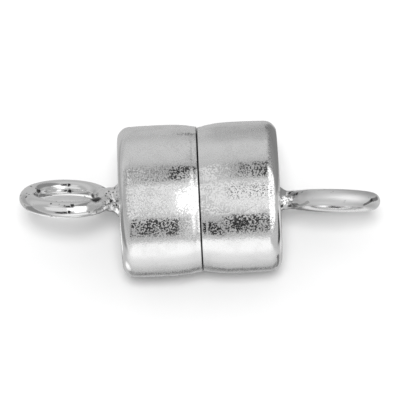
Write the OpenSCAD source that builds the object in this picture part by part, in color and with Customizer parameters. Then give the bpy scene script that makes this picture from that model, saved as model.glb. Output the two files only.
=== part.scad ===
// Magnetic barrel clasp, shut and lying on its side.
// Two drawn metal cups meet mouth to mouth. Each holds a disc magnet and has a wire ring
// soldered to the middle of its end. Lengths are in millimetres.
// The barrel's axis runs along X, the seam is at x = 0 and the surface it lies on is z = 0.

/* [Cups] */
// Outer diameter of each cup
cup_d = 5.5; // [4.5:0.1:8]
// Length of each cup from its mouth to the top of its end
cup_len = 2.91; // [2.4:0.01:5]
// Thickness of the cup's side wall
wall = 0.3; // [0.2:0.01:0.6]
// Thickness of the cup's end
end_wall = 0.32; // [0.2:0.01:0.6]
// Radius of the rounded edge round the cup's end
corner_r = 0.42; // [0.2:0.01:0.8]
// Radius to which the cup's end is crowned
crown_r = 60; // [30:1:200]
// Length of the stretch over which the mouth draws in
mouth_len = 0.6; // [0.3:0.01:1]
// How far the mouth draws in, measured on the radius
mouth_in = 0.08; // [0.02:0.01:0.12]
// Gap between the two mouths when the clasp is shut
seam_gap = 0.05; // [0.02:0.01:0.2]
// Turn of each cup about the barrel's axis, which sets where the facets of a meshed cup lie
cup_turn = 5.4; // [0:0.1:7]

/* [Magnets] */
// How far the magnet's face lies below the cup's mouth
face_recess = 0.1; // [0.02:0.01:0.3]
// Clearance between the magnet's rim and the cup's wall
rim_clear = 0.05; // [0.02:0.01:0.1]
// Clearance between the magnet's back and the cup's end
back_clear = 0.05; // [0.02:0.01:0.2]
// Size of the bevel round both edges of the magnet
magnet_bevel = 0.12; // [0.05:0.01:0.3]

/* [Rings] */
// Diameter of the wire
wire_d = 0.6; // [0.4:0.01:0.9]
// Outer diameter of each wire ring
ring_d = 3.4; // [2.6:0.1:4.4]
// Space between the cup's end and the wire ring
ring_gap = 0.22; // [0.1:0.01:0.5]
// Angle by which each ring leans out of line with the barrel
lean_angle = 3.8; // [0:0.1:6]
// Turn of the left ring about the barrel's axis, from upright
left_turn = 46.5; // [-90:0.5:90]
// Turn of the right ring about the barrel's axis, from upright
right_turn = 25; // [-90:0.5:90]
// Distance from the middle of the cup's end to the left ring's joint
left_off = 0.12; // [0:0.005:0.25]
// Distance from the middle of the cup's end to the right ring's joint
right_off = 0.165; // [0:0.005:0.25]

/* [Solder] */
// Thickness of the solder over the wire at the left ring's joint
left_skin = 0.14; // [0.02:0.01:0.2]
// Thickness of the solder over the wire at the right ring's joint
right_skin = 0.03; // [0.02:0.01:0.2]
// How far the left joint flares out on the cup's end
left_flare = 0.2; // [0.05:0.01:0.3]
// How far the right joint flares out on the cup's end
right_flare = 0.13; // [0.05:0.01:0.3]
// Height over which a joint flares
flare_h = 0.3; // [0.15:0.01:0.5]
// Depth to which a joint is sunk into the cup's end
root = 0.1; // [0.06:0.01:0.15]
// How far short of the eye the solder stops
eye_short = 0.04; // [0.02:0.01:0.1]

/* [Hidden] */
$fn = 96;

cup_r = cup_d / 2;
bore_r = cup_r - wall;
bore_len = cup_len - end_wall;
wire_r = wire_d / 2;
ring_mid_r = ring_d / 2 - wire_r;
magnet_r = bore_r - rim_clear;
magnet_len = bore_len - face_recess - back_clear;

// The rounded edge is tangent to the side and to the crowned end.
edge_mid_r = cup_r - corner_r;
edge_mid_h = cup_len - crown_r + sqrt(pow(crown_r - corner_r, 2) - pow(edge_mid_r, 2));
crown_edge_r = edge_mid_r * crown_r / (crown_r - corner_r);

// The mouth draws in along an arc that leaves the side without a crease.
mouth_arc_r = (pow(mouth_len, 2) + pow(mouth_in, 2)) / (2 * mouth_in);

// Half outline of a cup, with the mouth at height 0 and the end on top.
module cup_outline() {
    translate([0, mouth_len]) square([cup_r, edge_mid_h - mouth_len]);
    translate([edge_mid_r, edge_mid_h]) circle(corner_r);
    intersection() {
        square([cup_r, mouth_len]);
        translate([cup_r - mouth_arc_r, mouth_len]) circle(mouth_arc_r);
    }
    intersection() {
        translate([0, edge_mid_h]) square([crown_edge_r, cup_len]);
        translate([0, cup_len - crown_r]) circle(crown_r, $fn = 1440);
    }
}

// A drawn cup that stands on its mouth.
module cup() {
    difference() {
        rotate_extrude() intersection() {
            cup_outline();
            square([cup_r, cup_len]);
        }
        translate([0, 0, -wall]) cylinder(r = bore_r, h = bore_len + wall);
    }
}

// Half outline of a solder joint, which starts at height 0 on the cup's end, narrows to a neck
// and closes round the wire.
module joint_outline(skin, flare) {
    neck_r = wire_r + skin;
    arc_r = (pow(flare, 2) + pow(flare_h, 2)) / (2 * flare);
    top_h = ring_gap + wire_d - eye_short - neck_r;
    difference() {
        translate([0, -root]) square([neck_r + flare, root + flare_h]);
        translate([neck_r + arc_r, flare_h]) circle(arc_r);
    }
    square([neck_r, top_h]);
    intersection() {
        translate([0, top_h]) circle(neck_r);
        translate([0, -root]) square([neck_r, root + top_h + neck_r]);
    }
}

// A wire ring on its solder joint. It starts at x = 0, runs along X and stands in the XZ plane.
module soldered_ring(skin, flare) {
    rotate([0, 90, 0]) rotate_extrude() joint_outline(skin, flare);
    translate([ring_gap + wire_r + ring_mid_r, 0, 0]) rotate([90, 0, 0])
        rotate_extrude() translate([ring_mid_r, 0]) circle(wire_r);
}

// Half of the clasp's metal, with its mouth at the seam and its ring on the +X side. The ring
// is turned about the barrel's axis from upright.
module metal_half(turn, off, lean, skin, flare) {
    translate([seam_gap / 2, 0, cup_r]) {
        rotate([cup_turn, 0, 0]) rotate([0, 90, 0]) cup();
        rotate([turn, 0, 0]) translate([cup_len, off, 0]) rotate([0, 0, lean])
            soldered_ring(skin, flare);
    }
}

// A disc magnet with both edges bevelled, in the half on the +X side.
module magnet() {
    translate([seam_gap / 2 + face_recess, 0, cup_r]) rotate([0, 90, 0]) {
        cylinder(r1 = magnet_r - magnet_bevel, r2 = magnet_r, h = magnet_bevel);
        translate([0, 0, magnet_bevel]) cylinder(r = magnet_r, h = magnet_len - 2 * magnet_bevel);
        translate([0, 0, magnet_len - magnet_bevel])
            cylinder(r1 = magnet_r, r2 = magnet_r - magnet_bevel, h = magnet_bevel);
    }
}

module ring_cup_left() {
    color("silver") mirror([1, 0, 0])
        metal_half(left_turn, left_off, lean_angle, left_skin, left_flare);
}

module magnet_left() {
    color("darkgray") mirror([1, 0, 0]) magnet();
}

module magnet_right() {
    color("darkgray") magnet();
}

module ring_cup_right() {
    color("silver")
        metal_half(right_turn, -right_off, -lean_angle, right_skin, right_flare);
}

ring_cup_left();
magnet_left();
magnet_right();
ring_cup_right();
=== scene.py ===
"""Looks of a magnetic barrel clasp that lies shut on a pale floor.

Two drawn silver cups meet mouth to mouth. Each holds a plated disc magnet and has a wire ring soldered
to the middle of its end. Lengths are in metres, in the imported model's frame: the barrel's axis runs
along X, the seam is at x = 0 and the floor is z = 0.
"""

import logging
import math
from collections.abc import Sequence
from dataclasses import dataclass
from enum import Enum

import bmesh
import bpy
import numpy as np
from bmesh.types import BMesh
from bpy.types import Material, Mesh, NodeSocket, NodeTree, Object
from mathutils import Matrix, Vector, noise


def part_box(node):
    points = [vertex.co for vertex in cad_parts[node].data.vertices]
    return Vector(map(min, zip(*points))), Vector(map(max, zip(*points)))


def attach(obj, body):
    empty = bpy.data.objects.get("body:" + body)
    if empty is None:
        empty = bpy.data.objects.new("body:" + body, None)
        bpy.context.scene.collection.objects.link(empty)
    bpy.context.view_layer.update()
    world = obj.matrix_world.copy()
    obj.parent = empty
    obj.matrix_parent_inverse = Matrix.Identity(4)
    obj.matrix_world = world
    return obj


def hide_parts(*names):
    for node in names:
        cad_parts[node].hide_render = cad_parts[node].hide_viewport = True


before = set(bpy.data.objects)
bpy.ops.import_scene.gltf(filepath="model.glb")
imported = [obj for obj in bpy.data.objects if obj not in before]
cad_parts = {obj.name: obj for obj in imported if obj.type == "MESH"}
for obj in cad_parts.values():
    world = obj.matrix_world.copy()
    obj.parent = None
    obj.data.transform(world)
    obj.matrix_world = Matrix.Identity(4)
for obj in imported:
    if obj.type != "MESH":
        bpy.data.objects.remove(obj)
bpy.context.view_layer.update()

MM = 0.001
MICRON = 0.000001
FULL_TURN = math.tau
MERGE = 0.00001 * MM
ROUND_STEPS = 8
SHARP_ANGLE = math.radians(40)
# Turns a shape that is drawn along Z so that it runs along X.
ONTO_X = Matrix.Rotation(math.pi / 2, 4, "Y")
# How many finer layers a noise has.
SMOOTH = 1.0
SOFT = 2.0
BUSY = 3.0
RICH = 4.0
# The middle of a noise between 0 and 1.
MIDDLE = 0.5

Pair = tuple[float, float]
Triple = tuple[float, float, float]
Colour = tuple[float, float, float, float]

log = logging.getLogger("clasp")


def mm(first: float, second: float) -> Pair:
    """Two lengths given in millimetres, in metres."""
    return (first * MM, second * MM)


class Side(Enum):
    """The half of the clasp, by the direction in which its ring points along X."""

    LEFT = -1
    RIGHT = 1

    @property
    def word(self) -> str:
        """The side's name as it stands in the names of pieces."""
        return self.name.lower()

    @property
    def mirror(self) -> Matrix:
        """Matrix that takes a half built on the +X side to its own side."""
        return Matrix.Diagonal((self.value, 1.0, 1.0, 1.0))


class Signal:
    """One output of a shader node, on which maths is written as Python expressions."""

    def __init__(self, wires: "Wires", socket: NodeSocket) -> None:
        """Wrap an output of a node that stands in that tree."""
        self.wires = wires
        self.socket = socket

    def __add__(self, other: "Signal | float") -> "Signal":
        """Self plus other."""
        return self.wires.maths("ADD", self, other)

    def __radd__(self, other: float) -> "Signal":
        """Other plus self."""
        return self.wires.maths("ADD", other, self)

    def __sub__(self, other: "Signal | float") -> "Signal":
        """Self minus other."""
        return self.wires.maths("SUBTRACT", self, other)

    def __rsub__(self, other: float) -> "Signal":
        """Other minus self."""
        return self.wires.maths("SUBTRACT", other, self)

    def __mul__(self, other: "Signal | float") -> "Signal":
        """Self times other."""
        return self.wires.maths("MULTIPLY", self, other)

    def __rmul__(self, other: float) -> "Signal":
        """Other times self."""
        return self.wires.maths("MULTIPLY", other, self)

    def __abs__(self) -> "Signal":
        """Self without its sign."""
        return self.wires.maths("ABSOLUTE", self)

    def beside(self, output: str) -> "Signal":
        """Another output of the same node."""
        return Signal(self.wires, self.socket.node.outputs[output])


class Wires:
    """The node tree of a material or of the world."""

    def __init__(self, tree: NodeTree) -> None:
        """Clear the tree."""
        self.tree = tree
        tree.nodes.clear()

    def place(
        self,
        kind: str,
        output: str | None,
        settings: dict[str, object] | None = None,
        sockets: "dict[str | int, object] | None" = None,
    ) -> Signal | None:
        """Place one node.

        Args:
            kind: The node's type.
            output: Name of the output that is handed back, or None for a node that has none.
            settings: The node's own settings, which are set before its sockets.
            sockets: A value, or a signal to link, for each named or numbered input.

        Returns:
            The signal of the named output.
        """
        node = self.tree.nodes.new(kind)
        for name, setting in (settings or {}).items():
            setattr(node, name, setting)
        for name, value in (sockets or {}).items():
            socket = node.inputs[name] if isinstance(name, int) else self._live(node.inputs, name)
            if isinstance(value, Signal):
                self.tree.links.new(value.socket, socket)
            else:
                socket.default_value = value
        return Signal(self, self._live(node.outputs, output)) if output else None

    @staticmethod
    def _live(sockets: Sequence[NodeSocket], name: str) -> NodeSocket:
        """The socket of that name which the node's settings leave in use."""
        return next(socket for socket in sockets if socket.name == name and socket.enabled)

    def maths(self, operation: str, *values: Signal | float) -> Signal:
        """What a Math node makes of the values."""
        return self.place("ShaderNodeMath", "Value", {"operation": operation}, dict(enumerate(values)))

    def vector_maths(self, operation: str, output: str, *values: Signal | Sequence[float]) -> Signal:
        """The named output that a Vector Math node makes of the values."""
        settings = {"operation": operation}
        return self.place("ShaderNodeVectorMath", output, settings, dict(enumerate(values)))

    def hypotenuse(self, first: Signal, second: Signal) -> Signal:
        """The distance that two distances at right angles add up to."""
        return self.maths("SQRT", first * first + second * second)

    def rise(self, value: Signal, low: float, high: float) -> Signal:
        """A smooth step that is 0 where the value is low or less, and 1 where it is high or more."""
        ends = {"Value": value, "From Min": low, "From Max": high}
        return self.place("ShaderNodeMapRange", "Result", {"interpolation_type": "SMOOTHSTEP"}, ends)

    def band(self, value: Signal, low: float, high: float, soft: float) -> Signal:
        """A band that is 1 between low and high, with a fade as wide as soft across each of them."""
        start, stop = (self.rise(value, edge - soft / 2, edge + soft / 2) for edge in (low, high))
        return start * (1.0 - stop)

    def cloud(self, place: Signal, grain: float, detail: float) -> Signal:
        """Soft noise between 0 and 1, with lumps as large as the grain and that many finer layers."""
        sockets = {"Vector": place, "Scale": 1 / grain, "Detail": detail}
        return self.place("ShaderNodeTexNoise", "Fac", None, sockets)

    def blend(
        self, share: Signal, first: Sequence[float] | Signal, second: Sequence[float] | Signal
    ) -> Signal:
        """Mix two colours, of which the second shows as much as the share says."""
        sockets = {"Factor": share, "A": first, "B": second}
        return self.place("ShaderNodeMix", "Result", {"data_type": "RGBA"}, sockets)

    def bump(self, relief: Signal) -> Signal:
        """The normals of a surface whose height is given in micrometres."""
        sockets = {"Strength": 1.0, "Distance": MICRON, "Height": relief}
        return self.place("ShaderNodeBump", "Normal", None, sockets)

    def surface(self, sockets: dict[str, object]) -> None:
        """End a material with a Principled shader, whose inputs take these values and signals."""
        shader = self.place("ShaderNodeBsdfPrincipled", "BSDF", None, sockets)
        self.place("ShaderNodeOutputMaterial", None, None, {"Surface": shader})


def new_material(name: str) -> tuple[Material, Wires]:
    """Start a material.

    Args:
        name: The material's name.

    Returns:
        The material and its empty tree.
    """
    made = bpy.data.materials.new(name)
    made.use_nodes = True
    return made, Wires(made.node_tree)


def grey(tone: float) -> Colour:
    """A neutral colour of that brightness."""
    return (tone, tone, tone, 1.0)


def mesh_object(name: str, bm: BMesh) -> Object:
    """Turn a bmesh into an object of the scene, with its faces outwards.

    Args:
        name: The object's name.
        bm: The bmesh, which is freed.

    Returns:
        The object, at the origin.
    """
    bmesh.ops.recalc_face_normals(bm, faces=bm.faces)
    mesh = bpy.data.meshes.new(name)
    bm.to_mesh(mesh)
    bm.free()
    obj = bpy.data.objects.new(name, mesh)
    bpy.context.scene.collection.objects.link(obj)
    return obj


def settle(obj: Object) -> None:
    """Replace an object's mesh by what its modifiers make of it.

    Args:
        obj: The object, whose modifiers are removed.
    """
    bpy.context.view_layer.update()
    evaluated = obj.evaluated_get(bpy.context.evaluated_depsgraph_get())
    mesh = bpy.data.meshes.new_from_object(evaluated)
    obj.modifiers.clear()
    obj.data = mesh


def rounded_outline(outline: Sequence[Pair], rounds: dict[int, float]) -> BMesh:
    """Draw a half outline in the XZ plane and round its corners.

    Args:
        outline: Distance from the axis and height of each corner, from axis to axis.
        rounds: Radius by which a corner is rounded, by its place in the outline.

    Returns:
        The outline, as one chain of edges.
    """
    bm = bmesh.new()
    corners = [bm.verts.new((radius, 0.0, height)) for radius, height in outline]
    for pair in zip(corners, corners[1:]):
        bm.edges.new(pair)
    for place, radius in rounds.items():
        bmesh.ops.bevel(
            bm,
            geom=[corners[place]],
            offset=radius,
            segments=ROUND_STEPS,
            profile=0.5,
            affect="VERTICES",
            material=-1,
        )
    return bm


def spin(bm: BMesh, steps: int, axis: Triple = (0.0, 0.0, 1.0)) -> None:
    """Spin a chain of edges into a closed shape.

    Args:
        bm: The bmesh that holds the chain.
        steps: Number of steps in the full turn.
        axis: Direction of the axis, which runs through the origin.
    """
    bmesh.ops.spin(
        bm,
        geom=bm.verts[:] + bm.edges[:],
        cent=(0.0, 0.0, 0.0),
        axis=axis,
        angle=FULL_TURN,
        steps=steps,
        use_merge=True,
    )
    bmesh.ops.remove_doubles(bm, verts=bm.verts, dist=MERGE)


@dataclass(frozen=True)
class CupSizes:
    """Sizes of a drawn cup, from its mouth at height 0 to its end."""

    radius: float
    length: float
    wall: float = 0.3 * MM
    end_wall: float = 0.32 * MM
    rim_round: float = 0.42 * MM
    crown_radius: float = 60 * MM
    mouth_length: float = 1.0 * MM
    mouth_in: float = 0.09 * MM
    belly: float = 0.028 * MM
    lip_round: float = 0.02 * MM
    lip: float = 0.02 * MM
    groove_height: float = 0.16 * MM
    groove_width: float = 0.05 * MM
    groove_depth: float = 0.006 * MM
    around: int = 192
    side_cuts: int = 63
    end_cuts: int = 15


@dataclass(frozen=True)
class JointSizes:
    """Sizes of a wire ring and of the solder that holds it."""

    turn: float
    lean: float
    offset: float
    skin: float
    flare: float
    wire_radius: float = 0.3 * MM
    ring_radius: float = 1.4 * MM
    gap: float = 0.22 * MM
    flare_height: float = 0.3 * MM
    root: float = 0.1 * MM
    eye_short: float = 0.04 * MM
    melt: float = 0.1 * MM
    lump: float = 0.018 * MM
    lump_grain: float = 0.22 * MM
    lumps_past: float = 0.2 * MM
    lumps_fade: float = 0.3 * MM
    flare_past: float = 1.3
    dome_share: float = 0.9
    wire_steps: int = 24
    ring_steps: int = 96
    neck_steps: int = 48
    voxel: float = 0.03 * MM
    slope_step: float = 0.001 * MM
    least_slope: float = 0.2
    pulls: int = 4

    @property
    def neck_radius(self) -> float:
        """Radius of the solder's neck."""
        return self.wire_radius + self.skin

    @property
    def neck_top(self) -> float:
        """Height over the cup's end at which the neck closes in a half ball."""
        return self.gap + 2 * self.wire_radius - self.eye_short - self.neck_radius

    @property
    def ring_height(self) -> float:
        """Height of the ring's middle over the cup's end."""
        return self.gap + self.wire_radius + self.ring_radius


@dataclass(frozen=True)
class Location:
    """Where a shaded point of the clasp lies, measured from the barrel's axis and from the seam."""

    wires: Wires
    place: Signal
    along: Signal
    height: Signal
    from_axis: Signal
    around: Signal

    @classmethod
    def read(cls, wires: Wires, radius: float) -> "Location":
        """Measure the shaded point.

        Args:
            wires: The material's tree.
            radius: The barrel's radius, which is also its axis's height.

        Returns:
            The point's place. Its distance round the barrel counts from the top line towards the front.
        """
        place = wires.place("ShaderNodeTexCoord", "Object")
        along = wires.place("ShaderNodeSeparateXYZ", "X", None, {"Vector": place})
        height = along.beside("Z") - radius
        across = along.beside("Y")
        around = wires.maths("ARCTAN2", 0.0 - across, height) * radius
        return cls(wires, place, along, height, wires.hypotenuse(height, across), around)


@dataclass(frozen=True)
class Patch:
    """A soft-edged part of one cup's side, by its distances round the barrel and from the seam."""

    side: Side
    around: Pair
    soft: float
    outwards: Pair
    share: float = 1.0

    def mask(self, where: Location) -> Signal:
        """A mask that reaches the patch's share in its middle."""
        outwards = where.wires.rise(where.along * float(self.side.value), *self.outwards)
        return where.wires.band(where.around, *self.around, self.soft) * outwards * self.share


@dataclass(frozen=True)
class Scratch:
    """A scratch on a cup's side, between two places given by X and by the distance round the barrel."""

    start: Pair
    end: Pair
    width: float = 0.012 * MM
    fade: float = 0.25

    def mask(self, where: Location) -> Signal:
        """Where the scratch lies.

        Args:
            where: The shaded point.

        Returns:
            A mask that is 1 in the middle of the scratch.
        """
        wires = where.wires
        run = self.end[0] - self.start[0]
        climb = self.end[1] - self.start[1]
        length = math.hypot(run, climb)
        from_start = where.along - self.start[0]
        above_start = where.around - self.start[1]
        travelled = from_start * (run / length) + above_start * (climb / length)
        beside = abs(above_start * (run / length) - from_start * (climb / length))
        within = 1.0 - wires.rise(beside, 0.0, self.width)
        return within * wires.band(travelled, 0.0, length, length * self.fade)


@dataclass(frozen=True)
class PaintedDarkSpot:
    """A painted dark spot, or a smear where it has an end, for a dark reflection or shade. Its lengths are
    in millimetres.
    """

    place: Triple
    radius: float
    dark: float = 1.0
    ragged: float = 0.8
    core: float = 0.5
    end: Triple | None = None

    def mask(self, place: Signal, rough: Signal) -> Signal:
        """A mask of the painted spot at a place in millimetres, with an edge made ragged by the rough
        noise.
        """
        away = self.distance(place) + (rough - MIDDLE) * (self.ragged * self.radius)
        return (1.0 - place.wires.rise(away, self.radius * self.core, self.radius)) * self.dark

    def distance(self, place: Signal) -> Signal:
        """Distance from the painted spot's middle, or from the line along which it is smeared.

        Args:
            place: Coordinates in millimetres.

        Returns:
            The distance in millimetres.
        """
        wires = place.wires
        nearest = self.place
        if self.end:
            run = Vector(self.end) - Vector(self.place)
            from_start = wires.vector_maths("SUBTRACT", "Vector", place, self.place)
            share = wires.vector_maths("DOT_PRODUCT", "Value", from_start, run / run.length_squared)
            clamped = wires.place("ShaderNodeClamp", "Result", None, {"Value": share})
            nearest = wires.vector_maths("MULTIPLY_ADD", "Vector", run, clamped, self.place)
        return wires.vector_maths("DISTANCE", "Value", place, nearest)


def summed(marks: Sequence[Patch | Scratch | PaintedDarkSpot], *where: Location | Signal) -> Signal:
    """The sum of what all the marks' masks say of a place."""
    return sum(mark.mask(*where) for mark in marks)


class SilverMasks:
    """What lies at a shaded point of the silver, as masks and noises between 0 and 1."""

    def __init__(self, finish: "SilverFinish", where: Location, barrel: "Barrel") -> None:
        """Tell the parts of the silver apart and lay out its frost, its tarnish and painted shade, and its
        marks and painted dark spots.

        Args:
            finish: The silver's finish.
            where: The shaded point.
            barrel: Where the cups and the joints lie.
        """
        wires = where.wires
        place = where.place
        outwards = abs(where.along)
        end = barrel.end
        self.where = where
        self.side = 1.0 - wires.rise(outwards, *(end - short for short in finish.side_fade))
        self.joint = wires.band(outwards, end, end + finish.joint_reach, finish.joint_fade)
        self.ring = wires.rise(outwards, end, end + finish.joint_reach)
        self.right_ring = wires.rise(where.along, *(end + past for past in finish.right_ring_fade))
        # Painted shade: the bore, inside the cup, is painted dark for the shade inside it.
        past_bore = wires.rise(where.from_axis, barrel.bore, barrel.bore + finish.bore_fade)
        self.bore = self.side * (1.0 - past_bore)
        # Painted shade: the lip at the seam is painted nearly black for the shade between the two cups.
        on_lip = wires.rise(where.from_axis, *(barrel.radius - below for below in finish.lip_fade))
        past_seam = wires.rise(outwards, barrel.mouth, barrel.mouth + finish.seam_reach)
        self.seam = on_lip * (1.0 - past_seam)

        self.grain = wires.cloud(place, finish.grain, SMOOTH)
        self.patches = wires.rise(wires.cloud(place, finish.patch, SOFT), *finish.patch_edges)
        polish = wires.band(where.around, *finish.polished, finish.polish_soft) * finish.polish_share
        drifting = self.grain + (self.patches - MIDDLE) * finish.frost_drift
        self.frosted = wires.rise(drifting, *finish.frost_edges) * self.side * (1.0 - polish)
        # Tarnish clouds, joined by a painted shade patch on the right cup that darkens its reflection
        # there.
        clouds = wires.rise(wires.cloud(place, finish.tarnish_and_shade, RICH), *finish.tarnish_edges)
        self.tarnish_and_shade = clouds * finish.tarnish_share + finish.painted_shade_patch.mask(where) * self.side

        sockets = {"Vector": place, "Scale": 1 / finish.pit_spread}
        cells = wires.place("ShaderNodeTexVoronoi", "Distance", {"feature": "F1"}, sockets)
        pit_edge = finish.pit_radius / finish.pit_spread
        spots = 1.0 - wires.rise(cells, *(pit_edge * share for share in finish.pit_fade))
        few = wires.rise(wires.cloud(place, finish.pit_patch, SMOOTH), *finish.pit_patch_edges)
        few = few * (1.0 - self.right_ring * finish.right_ring_clean)
        self.pits = spots * wires.maths("MAXIMUM", self.joint, self.ring * few)
        self.scratches = summed(finish.scratches, where)
        in_mm = wires.vector_maths("MULTIPLY", "Vector", place, (1 / MM, 1 / MM, 1 / MM))
        # Painted dark spots, which stand in for dark reflections and shade, with ragged edges.
        self.painted_dark_spots = summed(finish.painted_dark_spots, in_mm, wires.cloud(place, finish.painted_spot_grain, SOFT))


@dataclass(frozen=True)
class SilverFinish:
    """Bright silver: satin cups with a fine grain, polished rings, pitted solder and a seam whose lip is
    painted dark for its shade.

    Tones are brightnesses and depths are in micrometres. Pairs named edges hold the levels between which
    a noise turns into a layer. A share says how much of its layer shows. A pit fades between two shares
    of its radius.
    """

    tone: float = 0.93
    # Tone of the tarnish and of the painted shade patch.
    tarnish_and_shade_tone: float = 0.8
    belt_tone: float = 0.6
    ring_tone: float = 0.89
    # Tone of the painted shade on the lip at the seam.
    seam_shade_tone: float = 0.05
    dark_tone: float = 0.07
    # Tone of the painted dark spots.
    painted_spot_tone: float = 0.01

    satin: float = 0.09
    gloss: float = 0.13
    frost: float = 0.4
    bore_rough: float = 0.4
    tarnish_and_shade_rough: float = 0.05
    ring_satin: float = 0.58
    ring_sheen: float = 0.22
    ring_upper: Pair = mm(-0.3, 0.2)

    # Where the parts fade: the side short of the cup's end, the joint and the right ring past it, the
    # bore past its own radius, the lip below the barrel's, and the seam past the mouth.
    side_fade: Pair = mm(0.4, 0.15)
    joint_reach: float = 0.6 * MM
    joint_fade: float = 0.3 * MM
    right_ring_fade: Pair = mm(0.3, 0.7)
    bore_fade: float = 0.03 * MM
    # How much painted shade darkens the bore.
    bore_shade_share: float = 0.6
    lip_fade: Pair = mm(0.21, 0.17)
    seam_reach: float = 0.012 * MM

    grain: float = 0.06 * MM
    grain_depth: float = 3.0
    grain_share: float = 0.6
    patch: float = 0.5 * MM
    patch_edges: Pair = (0.3, 0.65)
    frost_drift: float = 0.12
    frost_edges: Pair = (0.46, 0.56)
    polished: Pair = mm(3.0, 4.3)
    polish_soft: float = 0.4 * MM
    polish_share: float = 0.7
    belt: Pair = mm(0.1, 2.1)
    belt_soft: float = 0.4 * MM
    belt_share: float = 0.6
    # Size of the tarnish clouds, which share one mask with the painted shade patch.
    tarnish_and_shade: float = 0.5 * MM
    tarnish_edges: Pair = (0.45, 0.75)
    tarnish_share: float = 0.4
    # A painted shade patch on the right cup, near the seam just behind the top line, darkens its
    # reflection.
    painted_shade_patch: Patch = Patch(Side.RIGHT, around=mm(-2.0, -0.8), soft=0.5 * MM, outwards=mm(0.2, 0.8))

    pepper: float = 0.05 * MM
    pepper_edges: Pair = (0.52, 0.62)
    pepper_share: float = 0.75
    peppered: tuple[Patch, ...] = (
        Patch(Side.RIGHT, around=mm(0.95, 1.5), soft=0.3 * MM, outwards=mm(0.8, 1.2)),
        Patch(Side.RIGHT, around=mm(2.15, 2.75), soft=0.3 * MM, outwards=mm(0.8, 1.4)),
        Patch(Side.LEFT, around=mm(0.15, 0.85), soft=0.3 * MM, outwards=mm(0.9, 1.5), share=0.6),
        Patch(Side.LEFT, around=mm(1.1, 1.95), soft=0.4 * MM, outwards=mm(0.7, 1.4), share=0.4),
    )

    waves: float = 0.9 * MM
    wave_depth: float = 5.0
    streak: float = 0.5 * MM
    streak_stretch: float = 14.0
    streak_depth: float = 0.6
    lump: float = 0.12 * MM
    lump_depth: float = 15.0

    pit_spread: float = 0.16 * MM
    pit_radius: float = 0.034 * MM
    pit_fade: Pair = (0.5, 1.5)
    pit_depth: float = 9.0
    pit_share: float = 0.9
    pit_patch: float = 0.4 * MM
    pit_patch_edges: Pair = (0.52, 0.6)
    right_ring_clean: float = 0.8
    # Grain of the painted dark spots' edges, and how much of their metal look they lose.
    painted_spot_grain: float = 0.06 * MM
    painted_spot_matt: float = 0.9
    scratch_depth: float = 4.0
    scratch_share: float = 0.5
    scratches: tuple[Scratch, ...] = (
        Scratch(start=mm(1.38, 2.09), end=mm(2.05, 1.72)),
        Scratch(start=mm(1.44, 4.55), end=mm(1.4, 4.95)),
    )
    painted_dark_spots: tuple[PaintedDarkSpot, ...] = (
        # Painted dark reflections on the left ring's far wire, and painted shade where the hole through
        # the ring ends.
        PaintedDarkSpot((-4.76, 1.13, 2.26), 0.08),
        PaintedDarkSpot((-4.75, 0.94, 2.14), 0.1),
        PaintedDarkSpot((-5.88, 0.64, 2.76), 0.11),
        PaintedDarkSpot((-5.91, 0.42, 2.79), 0.1),
        PaintedDarkSpot((-5.82, 0.69, 2.68), 0.09),
        PaintedDarkSpot((-5.69, 0.68, 2.31), 0.05, dark=0.8, end=(-5.4, 0.79, 2.12)),
        # Painted dark reflections on its near wire.
        PaintedDarkSpot((-4.58, -0.84, 4.16), 0.09),
        PaintedDarkSpot((-4.71, -1.07, 4.08), 0.08),
        PaintedDarkSpot((-6.27, -0.09, 3.63), 0.06),
        # Painted shade where it meets its solder.
        PaintedDarkSpot((-3.87, 0.45, 2.46), 0.18, ragged=0.5),
        PaintedDarkSpot((-3.7, -0.31, 3.69), 0.22, ragged=0.5, end=(-3.8, -0.43, 3.8)),
        PaintedDarkSpot((-3.21, -0.2, 3.24), 0.09),
        PaintedDarkSpot((-3.0, -0.33, 3.17), 0.08),
        PaintedDarkSpot((-3.52, -0.66, 3.55), 0.06, dark=0.7),
        PaintedDarkSpot((-3.51, 0.73, 2.68), 0.06),
        # A painted dark reflection on the rim of the right cup.
        PaintedDarkSpot((2.73, -2.62, 2.95), 0.07, dark=0.85, ragged=1.5, end=(2.69, -2.57, 2.05)),
        # A painted dark reflection at the right ring's tip.
        PaintedDarkSpot((5.93, -1.02, 3.56), 0.08, dark=0.85, ragged=0.5, end=(6.2, -0.82, 3.5)),
        PaintedDarkSpot((6.2, -0.82, 3.5), 0.09, dark=0.85, ragged=0.5, end=(6.42, -0.57, 3.18)),
        # Painted dark reflections and shade where it meets its solder.
        PaintedDarkSpot((3.36, -0.06, 3.04), 0.1, dark=0.7),
        PaintedDarkSpot((3.52, -0.47, 3.62), 0.08, dark=0.6),
        PaintedDarkSpot((3.7, -0.5, 3.77), 0.07, dark=0.5),
        PaintedDarkSpot((3.41, -0.49, 3.49), 0.1, dark=0.6),
        PaintedDarkSpot((3.24, -0.25, 3.14), 0.07, dark=0.7, end=(3.52, -0.49, 3.63)),
        PaintedDarkSpot((3.35, -0.62, 3.11), 0.09, dark=0.8, end=(3.52, -0.78, 3.37)),
        PaintedDarkSpot((3.23, -0.49, 2.77), 0.08, dark=0.85, end=(3.49, -0.71, 3.1)),
        PaintedDarkSpot((3.61, -0.82, 3.36), 0.07, dark=0.45, end=(3.9, -0.94, 3.79)),
        PaintedDarkSpot((3.27, -0.5, 2.79), 0.05, dark=0.7, end=(3.63, -0.39, 2.47)),
        PaintedDarkSpot((2.97, -0.53, 2.87), 0.09),
        PaintedDarkSpot((3.3, -0.1, 3.04), 0.14),
    )

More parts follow.
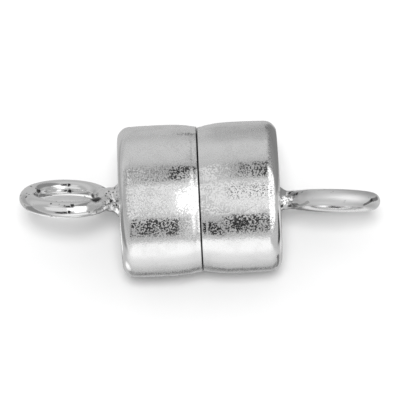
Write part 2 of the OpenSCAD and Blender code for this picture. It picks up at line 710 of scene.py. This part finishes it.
    def material(self, barrel: "Barrel") -> Material:
        """Build the material.

        Args:
            barrel: Where the cups and the joints lie.

        Returns:
            The material.
        """
        made, wires = new_material("bright_silver")
        masks = SilverMasks(self, Location.read(wires, barrel.radius), barrel)
        wires.surface(
            {
                "Base Color": self.colour(masks),
                # The painted dark spots lose their metal look.
                "Metallic": 1.0 - wires.rise(masks.painted_dark_spots, 0.0, 1.0) * self.painted_spot_matt,
                "Roughness": self.roughness(masks),
                "Normal": wires.bump(self.relief(masks)),
            }
        )
        return made

    def relief(self, masks: SilverMasks) -> Signal:
        """Height of the surface: grain, waves, drawn streaks, lumps, pits and scratches.

        Args:
            masks: What lies at the shaded point.

        Returns:
            The height in micrometres.
        """
        wires = masks.where.wires
        place = masks.where.place
        stretch = (1.0, self.streak_stretch, self.streak_stretch)
        drawn = wires.vector_maths("MULTIPLY", "Vector", place, stretch)
        grain_height = (1.0 - self.grain_share) + masks.patches * self.grain_share
        relief = masks.grain * masks.side * grain_height * self.grain_depth
        relief = relief + wires.cloud(place, self.waves, SOFT) * self.wave_depth
        relief = relief + wires.cloud(drawn, self.streak, BUSY) * self.streak_depth
        relief = relief + wires.cloud(place, self.lump, SMOOTH) * masks.joint * self.lump_depth
        return relief - (masks.pits + masks.painted_dark_spots) * self.pit_depth - masks.scratches * self.scratch_depth

    def colour(self, masks: SilverMasks) -> Signal:
        """Colour of the metal: its tones, marks and tarnish, with painted shade and painted dark spots.

        Args:
            masks: What lies at the shaded point.

        Returns:
            The colour.
        """
        where = masks.where
        wires = where.wires
        belt = wires.band(where.around, *self.belt, self.belt_soft) * self.belt_share
        pepper = wires.rise(wires.cloud(where.place, self.pepper, SMOOTH), *self.pepper_edges)
        pepper = pepper * masks.side * summed(self.peppered, where)
        layers = (
            (masks.ring, self.ring_tone),
            (masks.frosted * belt, self.belt_tone),
            (pepper * self.pepper_share, self.dark_tone),
            (masks.pits * self.pit_share, self.dark_tone),
            # Painted dark spots for dark reflections and shade.
            (masks.painted_dark_spots, self.painted_spot_tone),
            (masks.scratches * self.scratch_share, self.dark_tone),
            # The bore is painted dark: painted shade inside the cup.
            (masks.bore * self.bore_shade_share, self.dark_tone),
            # The lip at the seam is painted nearly black: painted shade.
            (masks.seam, self.seam_shade_tone),
        )
        # Tarnish and the painted shade patch dull the tone.
        colour = wires.blend(masks.tarnish_and_shade, grey(self.tone), grey(self.tarnish_and_shade_tone))
        for share, tone in layers:
            colour = wires.blend(share, colour, grey(tone))
        return colour

    def roughness(self, masks: SilverMasks) -> Signal:
        """Roughness: polished wire, satin sides with frosted specks, and a duller right ring.

        Args:
            masks: What lies at the shaded point.

        Returns:
            The roughness.
        """
        upper = masks.where.wires.rise(masks.where.height, *self.ring_upper)
        right_ring = self.ring_sheen + upper * (self.ring_satin - self.ring_sheen)
        roughness = self.gloss + masks.side * (self.satin - self.gloss)
        roughness = roughness + masks.right_ring * (right_ring - self.gloss)
        roughness = roughness + masks.frosted * (self.frost - self.satin)
        return roughness + masks.tarnish_and_shade * self.tarnish_and_shade_rough + masks.bore * (self.bore_rough - self.satin)


@dataclass(frozen=True)
class MagnetPlating:
    """Satin nickel plating on a disc magnet, with turned rings on its faces and worn edges."""

    tone: Colour = (0.66, 0.65, 0.63, 1.0)
    worn_tone: Colour = (0.42, 0.41, 0.4, 1.0)
    gloss: float = 0.28
    turning: float = 0.05 * MM
    turning_depth: float = 0.6
    speck: float = 0.09 * MM
    speck_depth: float = 1.5
    speck_rough: float = 0.1
    wear: float = 1.1 * MM
    wear_edges: Pair = (0.6, 0.8)
    wear_share: float = 0.6
    wear_rough: float = 0.15
    rim_width: float = 0.2 * MM
    rim_wear: float = 0.25

    def material(self, barrel: "Barrel") -> Material:
        """Build the material.

        Args:
            barrel: Where the magnets' axis lies.

        Returns:
            The material.
        """
        made, wires = new_material("magnet_plating")
        where = Location.read(wires, barrel.radius)
        turned = wires.maths("SINE", where.from_axis * (FULL_TURN / self.turning))
        specks = wires.cloud(where.place, self.speck, BUSY)
        rim = wires.rise(where.from_axis, barrel.magnet - self.rim_width, barrel.magnet)
        wear = wires.cloud(where.place, self.wear, RICH) + rim * self.rim_wear
        worn = wires.rise(wear, *self.wear_edges)
        wires.surface(
            {
                "Base Color": wires.blend(worn * self.wear_share, self.tone, self.worn_tone),
                "Metallic": 1.0,
                "Roughness": self.gloss + specks * self.speck_rough + worn * self.wear_rough,
                "Normal": wires.bump(turned * self.turning_depth + specks * self.speck_depth),
            }
        )
        return made


@dataclass(frozen=True)
class FloorFinish:
    """A matt white sheet, which takes the clasp's soft shade."""

    tone: float = 0.9
    rough: float = 0.9
    glow: float = 0.01

    def material(self) -> Material:
        """Build the material.

        Returns:
            The material.
        """
        made, wires = new_material("pale_floor")
        wires.surface(
            {
                "Base Color": grey(self.tone),
                "Roughness": self.rough,
                "Specular IOR Level": 0.0,
                "Emission Color": grey(1.0),
                "Emission Strength": self.glow,
            }
        )
        return made


@dataclass(frozen=True)
class Strip:
    """A brighter or darker strip of the mirrored ground, in millimetres.

    Each pair says where that side's fade starts and ends. Left and right are along X, and back and front
    count from below the barrel towards the front.
    """

    level: float
    left: Pair | None = None
    right: Pair | None = None
    back: Pair | None = None
    front: Pair | None = None

    def mask(self, along: Signal, ahead: Signal) -> Signal:
        """What the strip adds to the ground's brightness.

        Args:
            along: Place along X in millimetres.
            ahead: Distance in front of the barrel in millimetres.

        Returns:
            The strip's level inside it, and 0 outside.
        """
        starts = ((along, self.left), (ahead, self.back))
        ends = ((along, self.right), (ahead, self.front))
        fades = [value.wires.rise(value, *fade) for value, fade in starts if fade]
        fades += [1.0 - value.wires.rise(value, *fade) for value, fade in ends if fade]
        return math.prod(fades, start=self.level)


@dataclass(frozen=True)
class Pool:
    """A brighter or darker round pool of the mirrored ground, in millimetres, placed as a strip is."""

    level: float
    place: Pair
    fade: Pair

    def mask(self, along: Signal, ahead: Signal) -> Signal:
        """What the pool adds to the ground's brightness: its level in its middle, and 0 outside."""
        away = along.wires.hypotenuse(along - self.place[0], ahead - self.place[1])
        return (1.0 - along.wires.rise(away, *self.fade)) * self.level


@dataclass(frozen=True)
class TableFinish:
    """The ground as the polished metal mirrors it: a glowing sheet with painted light in front, painted
    shade under the barrel and grey behind.

    The photograph's ground was bleached to white, so what its metal mirrors is darker than what is seen.
    """

    tone: float = 0.53
    darkest: float = 0.03
    zones: tuple[Strip | Pool, ...] = (
        # The shade under the barrel and under both joints.
        Strip(-0.32, left=(-4.3, -3.3), right=(3.3, 4.3), back=(2.2, 2.7), front=(2.95, 3.45)),
        Pool(-0.32, place=(-3.5, -0.2), fade=(0.8, 1.9)),
        Pool(-0.32, place=(3.5, -0.2), fade=(0.8, 1.9)),
        # The lit ground in front of the cups, which darkens again far off.
        Strip(0.22, left=(-7.5, -5.5), right=(4.5, 6.5), back=(3.2, 5.4)),
        Strip(0.28, left=(-14, -10), right=(4.5, 6.5), back=(5, 9.5)),
        Strip(-0.4, left=(-14, -10), right=(4.5, 6.5), back=(12, 60)),
        # Painted darker ground beyond the left ring.
        Strip(-0.27, right=(-9, -7.6), back=(-0.5, 0.5), front=(7, 8)),
        Strip(-0.15, right=(-14, -8), back=(-20.5, -19.5), front=(-2.5, -1.5)),
        # Painted darker and brighter ground round the right ring.
        Strip(-0.3, left=(3.5, 5), front=(-4, -2)),
        Strip(0.25, left=(6.5, 8.5), right=(13, 20), back=(-2, -1), front=(1, 2)),
        Strip(-0.55, left=(6, 7.4), right=(17, 24), back=(1.7, 2.5), front=(3.7, 4.5)),
        # Bright pools, which the solder and the rings' wires pick up.
        Pool(0.6, place=(-4.1, 3.05), fade=(0.4, 0.9)),
        Pool(0.6, place=(-6.0, 0.5), fade=(0.9, 1.8)),
        Pool(0.3, place=(5.6, 1.1), fade=(0.8, 1.6)),
    )

    def material(self) -> Material:
        """Build the material.

        Returns:
            The material.
        """
        made, wires = new_material("mirrored_table")
        place = wires.place("ShaderNodeTexCoord", "Object")
        along = wires.place("ShaderNodeSeparateXYZ", "X", None, {"Vector": place})
        ahead = along.beside("Y") * (-1 / MM)
        along = along * (1 / MM)
        level = self.tone + sum(zone.mask(along, ahead) for zone in self.zones)
        level = wires.maths("MAXIMUM", level, self.darkest)
        glow = wires.place("ShaderNodeEmission", "Emission", None, {"Color": grey(1.0), "Strength": level})
        wires.place("ShaderNodeOutputMaterial", None, None, {"Surface": glow})
        return made


@dataclass(frozen=True)
class Barrel:
    """Where the barrel's parts lie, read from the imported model."""

    radius: float
    mouth: float
    end: float
    bore: float
    magnet: float

    @classmethod
    def from_frame(cls, wall: float, ring_reach: float) -> "Barrel":
        """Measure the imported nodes.

        Args:
            wall: Thickness of the cups' side wall.
            ring_reach: How far a ring reaches past its cup's end.

        Returns:
            The barrel.
        """
        low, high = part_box("ring_cup_right")
        magnet_low, magnet_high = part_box("magnet_right")
        radius = (high.z - low.z) / 2
        return cls(
            radius=radius,
            mouth=low.x,
            end=high.x - ring_reach,
            bore=radius - wall,
            magnet=(magnet_high.z - magnet_low.z) / 2,
        )


@dataclass
class MetalHalf:
    """One cup with its soldered ring, as one closed piece."""

    side: Side
    barrel: Barrel
    cup: CupSizes
    joint: JointSizes

    @property
    def node(self) -> str:
        """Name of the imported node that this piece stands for."""
        return f"ring_cup_{self.side.word}"

    def draw_cup(self) -> Object:
        """Draw the cup with its mouth at the seam and its end on the +X side.

        Returns:
            The cup, as a closed shell with its bore.
        """
        cup = self.cup
        outline = (
            (0.0, cup.length),
            (cup.radius, cup.length),
            (cup.radius, -cup.lip),
            (cup.radius - cup.wall, -cup.lip),
            (cup.radius - cup.wall, cup.length - cup.end_wall),
            (0.0, cup.length - cup.end_wall),
        )
        bm = rounded_outline(outline, {1: cup.rim_round, 2: cup.lip_round, 3: cup.lip_round})
        level = [edge for edge in bm.edges if min(vert.co.z for vert in edge.verts) > cup.length - MERGE]
        side = [edge for edge in bm.edges if min(vert.co.x for vert in edge.verts) > cup.radius - MERGE]
        bmesh.ops.subdivide_edges(bm, edges=level, cuts=cup.end_cuts)
        bmesh.ops.subdivide_edges(bm, edges=side, cuts=cup.side_cuts)
        self.shape_cup(bm)
        spin(bm, cup.around)
        stand = Matrix.Translation((self.barrel.mouth, 0.0, self.barrel.radius)) @ ONTO_X
        bmesh.ops.transform(bm, matrix=stand, verts=bm.verts)
        return mesh_object(f"cup_{self.side.word}", bm)

    def shape_cup(self, bm: BMesh) -> None:
        """Crown the end, belly the side, draw in the mouth and turn a fine groove behind the lip.

        Args:
            bm: The bmesh that holds the cup's outline.
        """
        cup = self.cup
        middle = cup.length / 2
        for vert in bm.verts:
            radius, height = vert.co.x, vert.co.z
            if height > cup.length - cup.rim_round - MERGE:
                vert.co.z -= radius**2 / (2 * cup.crown_radius)
            if radius > cup.radius - cup.rim_round - MERGE:
                belly = cup.belly * ((height - middle) / middle) ** 2
                drawn = cup.mouth_in * max(0.0, 1 - height / cup.mouth_length) ** 2
                inside = min(1.0, (radius - cup.radius + cup.wall) / (cup.wall - cup.rim_round / 2))
                from_groove = (height - cup.groove_height) / cup.groove_width
                groove = cup.groove_depth * math.exp(-(from_groove**2))
                vert.co.x -= (belly + drawn + groove) * max(0.0, inside)

    def bend_ring(self) -> Object:
        """Bend the ring and lay solder round its root, as one skin that melts together.

        Returns:
            The ring with its joint, in its place on the +X side.
        """
        joint = self.joint
        ring = bmesh.new()
        bmesh.ops.create_circle(ring, radius=joint.wire_radius, segments=joint.wire_steps)
        bmesh.ops.translate(ring, vec=(joint.ring_radius, 0.0, 0.0), verts=ring.verts)
        spin(ring, joint.ring_steps, (0.0, 1.0, 0.0))
        bmesh.ops.translate(ring, vec=(joint.ring_height, 0.0, 0.0), verts=ring.verts)
        foot = joint.neck_radius + joint.flare
        top = joint.neck_top + joint.neck_radius
        outline = (
            (0.0, -joint.root),
            (foot, -joint.root),
            (foot, 0.0),
            (joint.neck_radius, joint.flare_height),
            (joint.neck_radius, top),
            (0.0, top),
        )
        neck = rounded_outline(outline, {4: joint.neck_radius * joint.dome_share})
        spin(neck, joint.neck_steps)
        bmesh.ops.transform(neck, matrix=ONTO_X, verts=neck.verts)
        solder = mesh_object("neck", neck)
        ring.from_mesh(solder.data)
        bpy.data.objects.remove(solder)
        obj = mesh_object(f"soldered_ring_{self.side.word}", ring)
        remesh = obj.modifiers.new("melt", "REMESH")
        remesh.mode = "VOXEL"
        remesh.voxel_size = joint.voxel
        settle(obj)
        self.flow_solder(obj.data)
        turned = Matrix.Rotation(joint.turn, 4, "X") @ Matrix.Translation((0.0, joint.offset, 0.0))
        about_axis = Matrix.Translation((0.0, 0.0, self.barrel.radius))
        along = Matrix.Translation((self.barrel.mouth + self.cup.length, 0.0, 0.0))
        obj.data.transform(about_axis @ along @ turned @ Matrix.Rotation(joint.lean, 4, "Z"))
        return obj

    def skin_distance(self, points: np.ndarray) -> np.ndarray:
        """Distance of points from the skin of the ring and its solder.

        Args:
            points: Points in the joint's own frame, one a row.

        Returns:
            The distance of each, below zero inside.
        """
        joint = self.joint
        x, y, z = points.T
        from_ring = np.hypot(x - joint.ring_height, z) - joint.ring_radius
        wire = np.hypot(from_ring, y) - joint.wire_radius
        spread = np.clip(1 - x / joint.flare_height, 0.0, joint.flare_past) ** 2
        neck = joint.neck_radius + joint.flare * spread
        solder = np.hypot(np.hypot(y, z), np.maximum(x - joint.neck_top, 0.0)) - neck
        solder = np.maximum(solder, -joint.root - x)
        near = np.clip(0.5 + 0.5 * (solder - wire) / joint.melt, 0.0, 1.0)
        return solder * (1 - near) + wire * near - joint.melt * near * (1 - near)

    def flow_solder(self, mesh: Mesh) -> None:
        """Pull a rough skin onto the smooth one and raise the solder's lumps.

        Args:
            mesh: The mesh of the ring and its joint, in the joint's own frame.
        """
        joint = self.joint
        points = np.empty(len(mesh.vertices) * 3)
        mesh.vertices.foreach_get("co", points)
        points = points.reshape(-1, 3)
        step = joint.slope_step
        for _ in range(joint.pulls):
            here = self.skin_distance(points)
            slope = np.stack(
                [(self.skin_distance(points + step * axis) - here) / step for axis in np.eye(3)], axis=1
            )
            steep = np.maximum((slope**2).sum(axis=1, keepdims=True), joint.least_slope)
            points = points - slope * here[:, None] / steep
        outward = slope / np.sqrt(steep)
        lumps_end = joint.neck_top + joint.neck_radius + joint.lumps_past
        reach = np.clip((lumps_end - points[:, 0]) / joint.lumps_fade, 0.0, 1.0)
        above = np.clip((points[:, 0] + joint.root) / joint.root, 0.0, 1.0)
        lumps = np.array([noise.noise(Vector(point) / joint.lump_grain) for point in points])
        points = points + outward * (lumps * joint.lump * reach * above)[:, None]
        mesh.vertices.foreach_set("co", points.ravel())

    def build(self, silver: Material) -> Object:
        """Fuse the cup and the ring, and dress the piece.

        Args:
            silver: The metal's material.

        Returns:
            The finished piece.
        """
        cup = self.draw_cup()
        ring = self.bend_ring()
        fuse = cup.modifiers.new("fuse", "BOOLEAN")
        fuse.operation = "UNION"
        fuse.solver = "EXACT"
        fuse.object = ring
        settle(cup)
        bpy.data.objects.remove(ring)
        cup.data.transform(self.side.mirror)
        if self.side is Side.LEFT:
            cup.data.flip_normals()
        cup.data.shade_smooth()
        cup.data.set_sharp_from_angle(angle=SHARP_ANGLE)
        cup.data.materials.clear()
        cup.data.materials.append(silver)
        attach(cup, f"{self.side.word}_half")
        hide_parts(self.node)
        return cup


@dataclass
class Magnet:
    """A plated disc magnet in the half on one side."""

    side: Side
    barrel: Barrel
    bevel: float = 0.12 * MM
    edge_round: float = 0.03 * MM
    around: int = 128

    @property
    def node(self) -> str:
        """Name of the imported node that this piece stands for."""
        return f"magnet_{self.side.word}"

    @property
    def body(self) -> str:
        """Name of the body that the magnet rides on."""
        return "left_half" if self.side is Side.LEFT else "right_magnet"

    def build(self, plating: Material) -> Object:
        """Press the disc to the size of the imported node, and dress it.

        Args:
            plating: The plating's material.

        Returns:
            The finished piece.
        """
        low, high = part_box(self.node)
        radius = self.barrel.magnet
        flat = radius - self.bevel
        thick = high.x - low.x
        outline = (
            (0.0, 0.0),
            (flat, 0.0),
            (radius, self.bevel),
            (radius, thick - self.bevel),
            (flat, thick),
            (0.0, thick),
        )
        bm = rounded_outline(outline, {corner: self.edge_round for corner in (1, 2, 3, 4)})
        spin(bm, self.around)
        stand = Matrix.Translation((low.x, 0.0, self.barrel.radius)) @ ONTO_X
        bmesh.ops.transform(bm, matrix=stand, verts=bm.verts)
        disc = mesh_object(f"disc_magnet_{self.side.word}", bm)
        disc.data.shade_smooth()
        disc.data.set_sharp_from_angle(angle=SHARP_ANGLE)
        disc.data.materials.append(plating)
        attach(disc, self.body)
        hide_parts(self.node)
        return disc


@dataclass(frozen=True)
class Panel:
    """A bright or dark part of the light tent, by its angles in degrees from the camera's first place."""

    down: Pair
    across: Pair
    level: float
    soft: float = 6.0


@dataclass(frozen=True)
class Softbox:
    """A broad soft light on the floor, which polished metal doesn't show."""

    name: str
    elevation: float
    width: float
    level: float

    def hang(self, floor_tone: float) -> None:
        """Hang the light.

        Args:
            floor_tone: Share of the light that the floor gives back.
        """
        data = bpy.data.lights.new(self.name, "SUN")
        data.angle = self.width
        data.energy = self.level * math.pi / (floor_tone * math.sin(self.elevation))
        light = bpy.data.objects.new(self.name, data)
        towards = Vector((0.0, -math.cos(self.elevation), math.sin(self.elevation)))
        light.matrix_world = towards.to_track_quat("Z", "Y").to_matrix().to_4x4()
        light.visible_glossy = False
        bpy.context.scene.collection.objects.link(light)


@dataclass
class Studio:
    """The floor, the lights, the light tent and the camera."""

    aim_height: float
    elevation: float = math.radians(60)
    swing: float = math.radians(0.5)
    roll: float = math.radians(-3.1)
    distance: float = 150 * MM
    pixels_per_mm: float = 27.5
    frame_pixels: int = 400
    centre_pixel: Pair = (199.8, 198.9)
    sensor: float = 36.0
    clip_start: float = 10 * MM
    floor_size: float = 2.0
    tent_level: float = 0.47
    panels: tuple[Panel, ...] = (
        Panel(down=(-105, -62), across=(-95, 95), level=0.6, soft=30),
        Panel(down=(-26, 26), across=(-48, 75), level=0.81, soft=9),
        Panel(down=(-175, -50), across=(20, 110), level=0.26, soft=8),
        Panel(down=(-54, -30), across=(-9, 0), level=0.62, soft=3),
        Panel(down=(-54, -30), across=(0, 21), level=0.04, soft=3),
        Panel(down=(-54, -28), across=(-30, -10), level=0.74, soft=3),
        Panel(down=(27, 55), across=(-9, 6), level=0.05, soft=3),
        Panel(down=(38, 62), across=(-25, -9), level=0.03, soft=3),
        Panel(down=(-18, 20), across=(7, 22), level=2.1, soft=4),
        Panel(down=(-46, 56), across=(18, 66), level=1.3),
    )
    softboxes: tuple[Softbox, ...] = (
        Softbox("front_softbox", elevation=math.radians(69), width=math.radians(15), level=0.48),
        Softbox("overhead_softbox", elevation=math.radians(90), width=math.radians(100), level=0.57),
    )

    @property
    def towards_camera(self) -> Vector:
        """Direction from the clasp to the camera."""
        ahead = Vector((0.0, -math.cos(self.elevation), math.sin(self.elevation)))
        return Matrix.Rotation(self.swing, 3, "Z") @ ahead

    @property
    def picture_right(self) -> Vector:
        """Direction that points right in a picture with no roll."""
        return Matrix.Rotation(self.swing, 3, "Z") @ Vector((1.0, 0.0, 0.0))

    @property
    def picture_up(self) -> Vector:
        """Direction that points up in a picture with no roll."""
        return self.towards_camera.cross(self.picture_right)

    def stand_camera(self) -> None:
        """Stand the camera at the photograph's angle."""
        data = bpy.data.cameras.new("camera")
        data.sensor_width = self.sensor
        data.lens = self.distance / MM * self.pixels_per_mm * self.sensor / self.frame_pixels
        data.clip_start = self.clip_start
        camera = bpy.data.objects.new("camera", data)
        bpy.context.scene.collection.objects.link(camera)
        bpy.context.scene.camera = camera
        middle = self.frame_pixels / 2
        rightwards = (middle - self.centre_pixel[0]) / self.pixels_per_mm * MM
        upwards = (self.centre_pixel[1] - middle) / self.pixels_per_mm * MM
        aim = Vector((0.0, 0.0, self.aim_height))
        aim += self.picture_right * rightwards + self.picture_up * upwards
        facing = (-self.towards_camera).to_track_quat("-Z", "Y").to_matrix().to_4x4()
        place = aim + self.towards_camera * self.distance
        camera.matrix_world = Matrix.Translation(place) @ facing @ Matrix.Rotation(self.roll, 4, "Z")

    def hang_tent(self) -> None:
        """Hang a light tent with softboxes and gaps between them, for the metal to reflect."""
        world = bpy.data.worlds.new("light_tent")
        world.use_nodes = True
        bpy.context.scene.world = world
        world.cycles_visibility.diffuse = False
        wires = Wires(world.node_tree)
        way = wires.place("ShaderNodeTexCoord", "Generated")
        axes = (self.towards_camera, -self.picture_up, self.picture_right)
        ahead, below, sideways = [wires.vector_maths("DOT_PRODUCT", "Value", way, axis) for axis in axes]
        down = wires.maths("ARCTAN2", below, ahead) * math.degrees(1)
        across = wires.maths("ARCSINE", sideways) * math.degrees(1)
        light = across * 0.0 + self.tent_level
        for panel in self.panels:
            share = wires.band(down, *panel.down, panel.soft)
            share = share * wires.band(across, *panel.across, panel.soft)
            light = light + (panel.level - light) * share
        sockets = {"Color": grey(1.0), "Strength": light}
        background = wires.place("ShaderNodeBackground", "Background", None, sockets)
        wires.place("ShaderNodeOutputWorld", None, None, {"Surface": background})

    def lay_sheet(self, name: str, finish: Material) -> Object:
        """Lay a flat sheet on the ground.

        Args:
            name: The sheet's name.
            finish: Its material.

        Returns:
            The sheet.
        """
        bm = bmesh.new()
        bmesh.ops.create_grid(bm, x_segments=1, y_segments=1, size=self.floor_size)
        sheet = mesh_object(name, bm)
        sheet.data.materials.append(finish)
        return sheet

    def lay_floor(self, seen: FloorFinish, mirrored: TableFinish) -> None:
        """Lay the floor that is seen and the one that the metal mirrors, and hang the lights.

        Args:
            seen: Finish of the floor that is seen.
            mirrored: Finish of the floor in the metal's reflections.
        """
        floor = self.lay_sheet("floor", seen.material())
        floor.visible_glossy = False
        table = self.lay_sheet("mirrored_table", mirrored.material())
        table.visible_camera = False
        table.visible_diffuse = False
        table.visible_shadow = False
        for softbox in self.softboxes:
            softbox.hang(seen.tone)


def main() -> None:
    """Build the clasp and its studio."""
    logging.basicConfig(level=logging.INFO, format="%(name)s: %(message)s")
    scene = bpy.context.scene
    scene.view_settings.view_transform = "Standard"
    scene.cycles.use_denoising = True
    scene.cycles.denoising_prefilter = "NONE"

    cup_length = 2.91 * MM
    joints = {
        Side.LEFT: JointSizes(
            turn=math.radians(46.5),
            lean=math.radians(3.8),
            offset=0.12 * MM,
            skin=0.14 * MM,
            flare=0.2 * MM,
        ),
        Side.RIGHT: JointSizes(
            turn=math.radians(25),
            lean=math.radians(-3.8),
            offset=-0.165 * MM,
            skin=0.03 * MM,
            flare=0.13 * MM,
        ),
    }
    packed_low, packed_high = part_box("ring_cup_right")
    radius = (packed_high.z - packed_low.z) / 2
    cups = {
        Side.LEFT: CupSizes(radius=radius, length=cup_length),
        Side.RIGHT: CupSizes(radius=radius, length=cup_length, mouth_length=1.1 * MM, mouth_in=0.12 * MM),
    }
    reach = packed_high.x - packed_low.x - cup_length
    barrel = Barrel.from_frame(cups[Side.RIGHT].wall, reach)

    studio = Studio(aim_height=barrel.radius)
    studio.stand_camera()
    studio.hang_tent()
    studio.lay_floor(FloorFinish(), TableFinish())

    silver = SilverFinish().material(barrel)
    plating = MagnetPlating().material(barrel)
    for side in Side:
        half = MetalHalf(side, barrel, cups[side], joints[side]).build(silver)
        log.info("%s: %d faces", half.name, len(half.data.polygons))
        disc = Magnet(side, barrel).build(plating)
        log.info("%s: %d faces", disc.name, len(disc.data.polygons))


if __name__ == "__main__":
    main()
